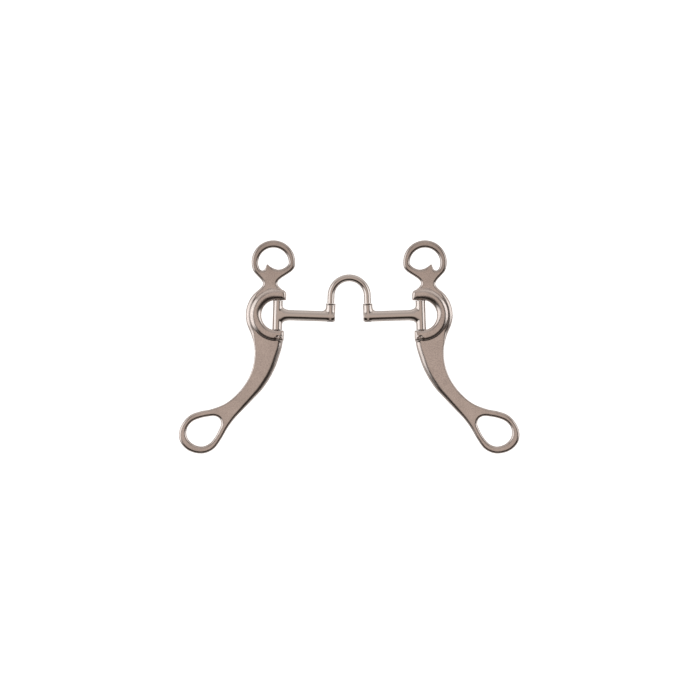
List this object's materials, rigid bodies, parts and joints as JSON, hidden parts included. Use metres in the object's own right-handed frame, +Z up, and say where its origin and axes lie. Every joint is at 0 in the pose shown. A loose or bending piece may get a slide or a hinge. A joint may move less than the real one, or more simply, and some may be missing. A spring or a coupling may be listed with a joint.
{
  "type": "curb bit",
  "caption": "Loose-cheek curb bit with an arched correction port, swinging mouth bars, S-shaped shanks, headstall rings and teardrop rein loops.",
  "frame": {"origin": "on the surface that the bit lies on, under the middle of its bounding box", "axes": "+X along the mouthpiece towards the right cheek, +Y towards the headstall rings, +Z up off the surface"},
  "size_m": [0.3228, 0.2022, 0.0104],
  "materials": {
    "cheek_steel": "satin cast stainless steel",
    "mouth_steel": "polished stainless steel",
    "pin_steel": "turned stainless steel"
  },
  "bodies": {
    "port": {"port_arch": "mouth_steel"},
    "left_arm": {"left_hinge_sleeve": "mouth_steel", "left_mouth_bar": "mouth_steel", "left_port_sleeve": "mouth_steel"},
    "right_arm": {"right_hinge_sleeve": "mouth_steel", "right_mouth_bar": "mouth_steel", "right_port_sleeve": "mouth_steel"},
    "left_side": {"left_cheek": "cheek_steel", "left_hinge_pin": "pin_steel"},
    "right_side": {"right_cheek": "cheek_steel", "right_hinge_pin": "pin_steel"}
  },
  "joints": [
    {"name": "left_bar_swing", "type": "hinge", "parent": "port", "child": "left_arm", "pos_m": [-0.01783, 0.02844, 0.0052], "axis": [0.0314, 0.9995, 0], "range_deg": [-30, 30]},
    {"name": "right_bar_swing", "type": "hinge", "parent": "port", "child": "right_arm", "pos_m": [0.01783, 0.02844, 0.0052], "axis": [0.0314, -0.9995, 0], "range_deg": [-30, 30]},
    {"name": "left_cheek_swing", "type": "hinge", "parent": "left_arm", "child": "left_side", "pos_m": [-0.0678, 0.03001, 0.0052], "axis": [0.0314, 0.9995, 0], "range_deg": [-100, 100]},
    {"name": "right_cheek_swing", "type": "hinge", "parent": "right_arm", "child": "right_side", "pos_m": [0.0678, 0.03001, 0.0052], "axis": [0.0314, -0.9995, 0], "range_deg": [-100, 100]}
  ]
}
